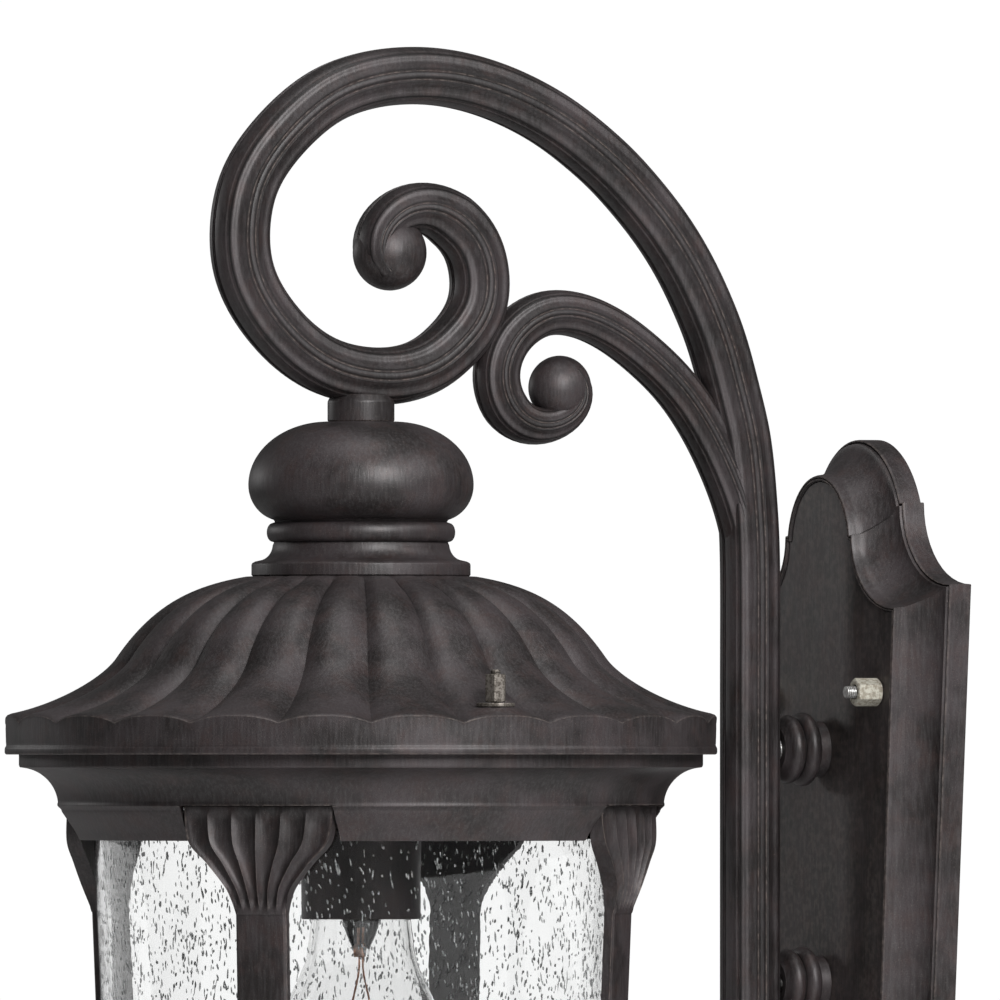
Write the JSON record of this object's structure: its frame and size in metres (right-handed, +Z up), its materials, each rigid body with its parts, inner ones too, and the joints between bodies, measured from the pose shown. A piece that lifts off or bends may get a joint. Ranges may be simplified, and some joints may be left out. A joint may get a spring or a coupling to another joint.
{
  "type": "outdoor wall lantern",
  "caption": "Outdoor wall lantern with a moulded wall plate, a cast scroll arm, a lobed roof and a glazed cage of seeded glass around one lamp.",
  "frame": {"origin": "on the wall, at the middle of the wall strap's back face, level with the two studs that hold the wall plate", "axes": "+Z up, +Y into the wall, the lantern hangs out along -Y, and the arm lies in the plane X = 0"},
  "size_m": [0.2744, 0.3577, 0.5193],
  "materials": {
    "dark_bronze_casting": "antique dark bronze paint over cast aluminium, satin, worn on the edges",
    "dark_screw": "blackened steel",
    "zinc_steel": "zinc plated",
    "worn_nickel": "worn nickel over brass",
    "socket_brass": "bright drawn brass",
    "seeded_glass": "clear glass with small seeds",
    "lamp_glass": "thin clear glass",
    "filament_wire": "copper-coloured wire",
    "porcelain": "glazed porcelain",
    "black_insulation": "satin insulation",
    "white_insulation": "satin insulation",
    "green_insulation": "green insulation and green-passivated screw",
    "wire_nut_red": "moulded plastic"
  },
  "bodies": {
    "wall_side": {"backplate": "dark_bronze_casting", "scroll_arm": "dark_bronze_casting", "arm_boss_upper": "dark_bronze_casting", "arm_boss_lower": "dark_bronze_casting", "neck_vase": "dark_bronze_casting", "roof": "dark_bronze_casting", "socket_skirt": "dark_bronze_casting", "wall_strap": "zinc_steel", "strap_stud_left": "zinc_steel", "strap_stud_right": "zinc_steel", "stud_locknut_left": "zinc_steel", "stud_locknut_right": "zinc_steel", "arm_nipple": "zinc_steel", "arm_nipple_nut": "zinc_steel", "arm_bolt": "zinc_steel", "hanger_nipple": "zinc_steel", "roof_locknut": "zinc_steel", "skirt_nut": "zinc_steel", "roof_washer_left": "zinc_steel", "roof_washer_right": "zinc_steel", "socket_cap": "socket_brass", "screw_shell": "socket_brass", "socket_contact": "socket_brass", "socket_body": "porcelain", "supply_lead_live": "black_insulation", "socket_lead_live": "black_insulation", "supply_lead_neutral": "white_insulation", "socket_lead_neutral": "white_insulation", "ground_lead": "green_insulation", "ground_screw": "green_insulation", "wire_nut_live": "wire_nut_red", "wire_nut_neutral": "wire_nut_red"},
    "cage": {"cornice": "dark_bronze_casting", "glass_shade": "seeded_glass", "base_pan": "dark_bronze_casting", "finial": "dark_bronze_casting", "finial_screw": "zinc_steel", "cage_stud_left": "dark_screw", "cage_stud_right": "dark_screw", "post_1": "dark_bronze_casting", "post_2": "dark_bronze_casting", "post_3": "dark_bronze_casting", "post_4": "dark_bronze_casting", "post_screw_1": "zinc_steel", "post_screw_2": "zinc_steel", "post_screw_3": "zinc_steel", "post_screw_4": "zinc_steel", "foot_screw_1": "dark_screw", "foot_screw_2": "dark_screw", "foot_screw_3": "dark_screw", "foot_screw_4": "dark_screw"},
    "lamp": {"lamp_base": "socket_brass", "lamp_envelope": "lamp_glass", "lamp_stem": "lamp_glass", "lamp_filament": "filament_wire"},
    "left_roof_nut": {"roof_nut_left": "worn_nickel"},
    "right_roof_nut": {"roof_nut_right": "worn_nickel"},
    "left_mounting_nut": {"mounting_nut_left": "worn_nickel"},
    "right_mounting_nut": {"mounting_nut_right": "worn_nickel"}
  },
  "joints": [
    {"name": "cage_drop", "type": "slide", "parent": "wall_side", "child": "cage", "axis": [0, 0, -1], "range_m": [0, 0.13]},
    {"name": "lamp_turn", "type": "hinge", "parent": "wall_side", "child": "lamp", "pos_m": [0, -0.2205, -0.05], "axis": [0, 0, 1], "continuous": true},
    {"name": "left_roof_nut_turn", "type": "hinge", "parent": "wall_side", "child": "left_roof_nut", "pos_m": [-0.125, -0.2205, 0], "axis": [0, 0, 1], "continuous": true},
    {"name": "right_roof_nut_turn", "type": "hinge", "parent": "wall_side", "child": "right_roof_nut", "pos_m": [0.125, -0.2205, 0], "axis": [0, 0, 1], "continuous": true},
    {"name": "left_mounting_nut_turn", "type": "hinge", "parent": "wall_side", "child": "left_mounting_nut", "pos_m": [-0.0528, -0.03, 0], "axis": [0, -1, 0], "continuous": true},
    {"name": "right_mounting_nut_turn", "type": "hinge", "parent": "wall_side", "child": "right_mounting_nut", "pos_m": [0.0528, -0.03, 0], "axis": [0, -1, 0], "continuous": true}
  ]
}
